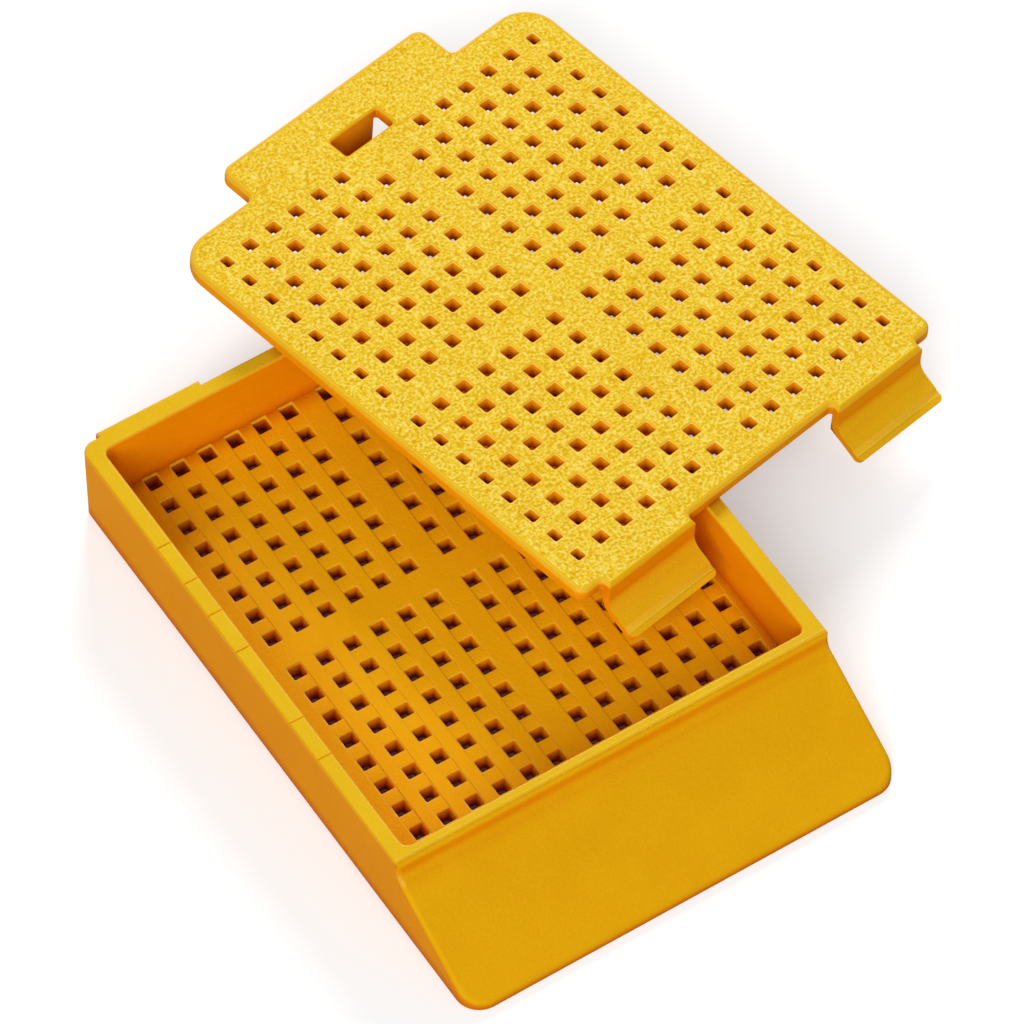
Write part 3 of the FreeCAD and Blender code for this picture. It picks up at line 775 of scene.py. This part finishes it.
class CASSETTE_OT_lid(bpy.types.Operator):
    """Model the lid and lay it on the tray"""
    bl_idname = "cassette.lid"
    bl_label = "Lid"

    def execute(self, context):
        scene = context.scene
        lid, paint = scene.cassette_lid, scene.cassette_plastic
        plate = make_lid_plate(lid, scene.cassette_grid)
        top, margin = lid.thickness, 3 * PAST
        put_on(plate, plastic("lid_satin", paint, paint.lid_slope, paint.crown, paint.satin))
        # painted shade darkening the hole walls towards the bottom
        use(plate,
            plastic("lid_shaded_hole_walls", paint, paint.lid_slope, paint.crown, paint.satin,
                    deep=True),
            lambda corners: is_hole_wall(corners, top, lid.side - margin, lid.front + margin,
                                         lid.back - margin))
        use(plate, plastic("lid_grained", paint, paint.lid_slope, paint.lid_crown, paint.grain,
                           sparkle=paint.sparkle),
            at(z=top))
        use(plate, plastic("lid_edges", paint, paint.lid_slope, paint.lid_crown, paint.satin,
                           shine=paint.edge_shine),
            lambda corners: is_rounding(
                corners, EDGE_STRIP if min(corner.z for corner in corners) > 0 else UNDER_STRIP))
        # painted highlight on the roundings round the mouths of the lid's holes
        use(plate, plastic("lid_mouth_highlights", paint, paint.lid_mouth_highlight, paint.lid_crown, paint.satin,
                           shine=paint.edge_shine),
            lambda corners: is_rounding(corners, MOUTH_STRIP)
            and min(corner.z for corner in corners) > top / 2)
        plate.matrix_world = resting_place(lid)
        focus(plate)
        bpy.ops.object.transform_apply()
        finish(plate, "lid", "lid")
        return {"FINISHED"}


class CassetteStageSettings(bpy.types.PropertyGroup):
    """Camera, floor and lamps."""
    camera_place: stand("Camera place", "Where the camera stands",
                        (-0.15854, -0.25581, 0.44203))
    camera_turn: FloatVectorProperty(
        name="Camera turn", description="How the camera is turned", subtype="EULER",
        default=[math.radians(turn) for turn in (35.0193, 0.4417, -32.7132)])
    camera_lens: number("Lens", "Focal length in millimetres", 333.54)
    floor_size: metres("Floor", "Side of the square floor", 3.0)
    floor_colour: colour("Floor colour", "Colour of the floor as it lights the object",
                         (0.45, 0.45, 0.45))
    # painted shade: the floor's colour under the tray's holes
    floor_gap_shade: colour("Floor gap", "Colour of the floor under a hole", (0.06, 0.003, 0.002))
    floor_lift: share("Floor lift", "How much of the floor's white is its own", 0.6)
    sky_level: number("Sky", "Strength of the even light from all round", 0.33)
    key_place: stand("Key place", "Where the wide lamp in front on the left stands",
                     (-0.32, -0.32, 0.35))
    key_width: metres("Key width", "Width of that lamp", 0.42)
    key_level: number("Key power", "Power of that lamp in watts", 2.25)
    rim_place: stand("Rim place", "Where the small lamp behind on the right stands",
                     (0.265, 0.353, 0.235))
    rim_width: metres("Rim width", "Width of that lamp", 0.16)
    rim_level: number("Rim power", "Power of that lamp in watts", 1.6)


def set_camera(settings):
    """Adds the camera at its place, turn and lens."""
    bpy.ops.object.camera_add(location=settings.camera_place, rotation=settings.camera_turn)
    camera = bpy.context.object
    camera.data.lens = settings.camera_lens
    camera.data.clip_start, camera.data.clip_end = CAMERA_SEES
    bpy.context.scene.camera = camera


def add_lamp(name, place, width, power):
    """A round soft lamp that points at the middle of the cassette."""
    bpy.ops.object.light_add(type="AREA", location=place)
    lamp = bpy.context.object
    lamp.name = name
    lamp.data.shape = "DISK"
    lamp.data.size = width
    lamp.data.energy = power
    aim = Vector(LAMPS_AIM) - lamp.location
    lamp.rotation_euler = aim.to_track_quat("-Z", "Y").to_euler()


def seen_directly(nodes, links):
    """One where the camera, a reflection or clear material sees the surface, else nought."""
    path = nodes.new("ShaderNodeLightPath")
    total = path.outputs["Is Camera Ray"]
    for name in ("Is Glossy Ray", "Is Transmission Ray"):
        both = nodes.new("ShaderNodeMath")
        both.operation = "MAXIMUM"
        links.new(total, both.inputs[0])
        links.new(path.outputs[name], both.inputs[1])
        total = both.outputs["Value"]
    return total


def floor_card(settings):
    """Matte card that looks white itself but throws little light back on the object,
    with painted shade under the tray's holes.
    """
    material = bpy.data.materials.new("floor_card")
    material.use_nodes = True
    nodes, links = material.node_tree.nodes, material.node_tree.links
    nodes.clear()
    out = nodes.new("ShaderNodeOutputMaterial")
    card = nodes.new("ShaderNodeBsdfDiffuse")
    card.inputs["Color"].default_value = (*settings.floor_colour, 1.0)
    white = nodes.new("ShaderNodeBsdfDiffuse")
    seen = seen_directly(nodes, links)
    mix = nodes.new("ShaderNodeMixShader")
    links.new(seen, mix.inputs["Fac"])
    links.new(card.outputs["BSDF"], mix.inputs[1])
    links.new(white.outputs["BSDF"], mix.inputs[2])
    glow = nodes.new("ShaderNodeEmission")
    lift = nodes.new("ShaderNodeMath")
    lift.operation = "MULTIPLY"
    lift.inputs[1].default_value = settings.floor_lift
    links.new(seen, lift.inputs[0])
    links.new(lift.outputs["Value"], glow.inputs["Strength"])
    pale = [1.0 - settings.floor_lift / 2] * 3
    # painted shade where the floor is closed in, as under the tray's holes
    gap_shade = shade_by_openness(nodes, links, FLOOR_SHADE_REACH, FLOOR_SHADE_SAMPLES, GAP_SHADE, (settings.floor_gap_shade, pale))
    links.new(gap_shade, white.inputs["Color"])
    links.new(gap_shade, glow.inputs["Color"])
    both = nodes.new("ShaderNodeAddShader")
    links.new(mix.outputs["Shader"], both.inputs[0])
    links.new(glow.outputs["Emission"], both.inputs[1])
    links.new(both.outputs["Shader"], out.inputs["Surface"])
    return material


def shade_by_openness(nodes, links, reach, samples, places, colours, upward=False):
    """Painted shade: a colour by how open the surface is within reach, or how open upward."""
    openness = nodes.new("ShaderNodeAmbientOcclusion")
    openness.samples = samples
    openness.inputs["Distance"].default_value = reach
    if upward:
        surface = nodes.new("ShaderNodeNewGeometry")
        lean = nodes.new("ShaderNodeVectorMath")
        lean.inputs[1].default_value = (0.0, 0.0, 1.0)
        links.new(surface.outputs["Normal"], lean.inputs[0])
        unit = nodes.new("ShaderNodeVectorMath")
        unit.operation = "NORMALIZE"
        links.new(lean.outputs["Vector"], unit.inputs[0])
        links.new(unit.outputs["Vector"], openness.inputs["Normal"])
    return ramp(nodes, links, openness.outputs["AO"], places, colours)


def ramp(nodes, links, source, places, colours):
    """Turns a factor into a colour: one for each place between nought and one."""
    node = nodes.new("ShaderNodeValToRGB")
    while len(node.color_ramp.elements) < len(places):
        node.color_ramp.elements.new(1.0)
    for element, place, tint in zip(node.color_ramp.elements, places, colours):
        element.position = place
        element.color = (*tint, 1.0)
    links.new(source, node.inputs["Fac"])
    return node.outputs["Color"]


def noise(nodes, links, vector, scale, detail):
    """A factor that varies at random over the surface."""
    node = nodes.new("ShaderNodeTexNoise")
    node.inputs["Scale"].default_value = scale
    node.inputs["Detail"].default_value = detail
    links.new(vector, node.inputs["Vector"])
    return node.outputs["Fac"]


def multiplied(nodes, links, one, other):
    """One colour filtered by another."""
    mix = nodes.new("ShaderNodeMix")
    mix.data_type = "RGBA"
    mix.blend_type = "MULTIPLY"
    mix.inputs["Factor"].default_value = 1.0
    links.new(one, mix.inputs["A"])
    links.new(other, mix.inputs["B"])
    return mix.outputs["Result"]


def speck(level, powers):
    """A grey level that shows differently in red, green and blue."""
    return [level ** power for power in powers]


def plastic(name, paint, slope, crown, grain, sparkle=SMOOTH, shine=0.0, deep=False):
    """Matte moulded plastic, with painted shade on its flanks and painted light on level faces.

    slope and crown are its colours where it leans and where it lies level, painted lighter as
    a face looks further up. grain is the height of the surface's texture in millimetres,
    sparkle how much paler than its hollows its tops are, partly as painted glints, and shine
    how glossy it is. A plastic with neither sparkle nor shine gets painted shade in hollows
    too, and deep says that it lines the holes, where painted shade darkens towards the bottom.
    """
    material = bpy.data.materials.new(name)
    material.use_nodes = True
    nodes, links = material.node_tree.nodes, material.node_tree.links
    shader = nodes["Principled BSDF"]
    shader.inputs["Specular IOR Level"].default_value = SATIN_GLOSS + shine
    place = nodes.new("ShaderNodeTexCoord")
    facing = nodes.new("ShaderNodeSeparateXYZ")
    links.new(place.outputs["Normal"], facing.inputs["Vector"])
    fine = noise(nodes, links, place.outputs["Object"], paint.grain_scale, GRAIN_DETAIL)
    cloud = noise(nodes, links, place.outputs["Object"], paint.cloud_scale, CLOUD_DETAIL)

    # painted light and shade: colour by how far up a face looks, deeper on flanks, paler on level
    # faces
    body = ramp(nodes, links, facing.outputs["Z"], FACING_LIGHT, (paint.flank, slope, slope, crown))
    # random tone of the grain, its tops painted paler as glints and its hollows darker as shade
    filters = [
        ramp(nodes, links, fine, HEIGHTS,
             (speck(1.0 - sparkle, DIP), WHITE, speck(1.0 + sparkle, GLINT))),
        ramp(nodes, links, cloud, CLOUD, (paint.cloud, WHITE))]
    # painted shade down the walls of the holes
    if deep:
        filters.append(shade_by_openness(
            nodes, links, 2 * paint.shade_reach, DEPTH_SHADE_SAMPLES, DEPTH_SHADE,
            (paint.depth, paint.half_depth_shade, paint.brink_shade), upward=True))
    # painted shade in the hollows
    elif not (shine or sparkle > SMOOTH):
        filters.append(shade_by_openness(
            nodes, links, paint.shade_reach, HOLLOW_SHADE_SAMPLES, HOLLOW_SHADE,
            (paint.hollow, paint.half_hollow_shade, WHITE)))
    for tint in filters:
        body = multiplied(nodes, links, body, tint)
    links.new(body, shader.inputs["Base Color"])

    gloss = nodes.new("ShaderNodeMapRange")
    gloss.inputs["To Min"].default_value = ROUGHNESS[0] - shine / 2
    gloss.inputs["To Max"].default_value = ROUGHNESS[1] - shine / 2
    links.new(fine, gloss.inputs["Value"])
    links.new(gloss.outputs["Result"], shader.inputs["Roughness"])
    bump = nodes.new("ShaderNodeBump")
    bump.inputs["Distance"].default_value = grain * MM
    links.new(fine, bump.inputs["Height"])
    links.new(bump.outputs["Normal"], shader.inputs["Normal"])
    return material


class CASSETTE_OT_stage(bpy.types.Operator):
    """Set the camera, floor, lamps and world"""
    bl_idname = "cassette.stage"
    bl_label = "Stage"

    def execute(self, context):
        settings = context.scene.cassette_stage
        context.scene.view_settings.view_transform = "Standard"
        set_camera(settings)
        bpy.ops.mesh.primitive_plane_add(size=settings.floor_size)
        floor = context.object
        floor.name = "floor"
        floor.data.materials.append(floor_card(settings))
        world = bpy.data.worlds.new("studio")
        context.scene.world = world
        world.use_nodes = True
        nodes, links = world.node_tree.nodes, world.node_tree.links
        background = nodes["Background"]
        background.inputs["Color"].default_value = (*WHITE, 1.0)
        level = nodes.new("ShaderNodeMapRange")
        level.inputs["To Min"].default_value = settings.sky_level
        links.new(seen_directly(nodes, links), level.inputs["Value"])
        links.new(level.outputs["Result"], background.inputs["Strength"])
        add_lamp("key", settings.key_place, settings.key_width, settings.key_level)
        add_lamp("rim", settings.rim_place, settings.rim_width, settings.rim_level)
        return {"FINISHED"}


class CASSETTE_PT_panel(bpy.types.Panel):
    """Lists the pieces of the cassette"""
    bl_label = "Tissue cassette"
    bl_idname = "CASSETTE_PT_panel"
    bl_space_type = "VIEW_3D"
    bl_region_type = "UI"
    bl_category = "Cassette"

    def draw(self, context):
        for operator in OPERATORS:
            self.layout.operator(operator.bl_idname)


OPERATORS = (CASSETTE_OT_stage, CASSETTE_OT_tray, CASSETTE_OT_lid)
GROUPS = {"cassette_stage": CassetteStageSettings, "cassette_tray": CassetteTraySettings,
          "cassette_lid": CassetteLidSettings, "cassette_grid": CassetteGridSettings,
          "cassette_plastic": CassettePlasticSettings}
CLASSES = (*GROUPS.values(), *OPERATORS, CASSETTE_PT_panel)


def register():
    """Makes the settings, operators and panel known."""
    for item in CLASSES:
        bpy.utils.register_class(item)
    for name, group in GROUPS.items():
        setattr(bpy.types.Scene, name, PointerProperty(type=group))


def unregister():
    """Takes them away again."""
    for name in GROUPS:
        delattr(bpy.types.Scene, name)
    for item in reversed(CLASSES):
        bpy.utils.unregister_class(item)


def main():
    """Models the cassette."""
    register()
    bpy.ops.cassette.stage()
    bpy.ops.cassette.tray()
    bpy.ops.cassette.lid()


if __name__ == "__main__":
    main()
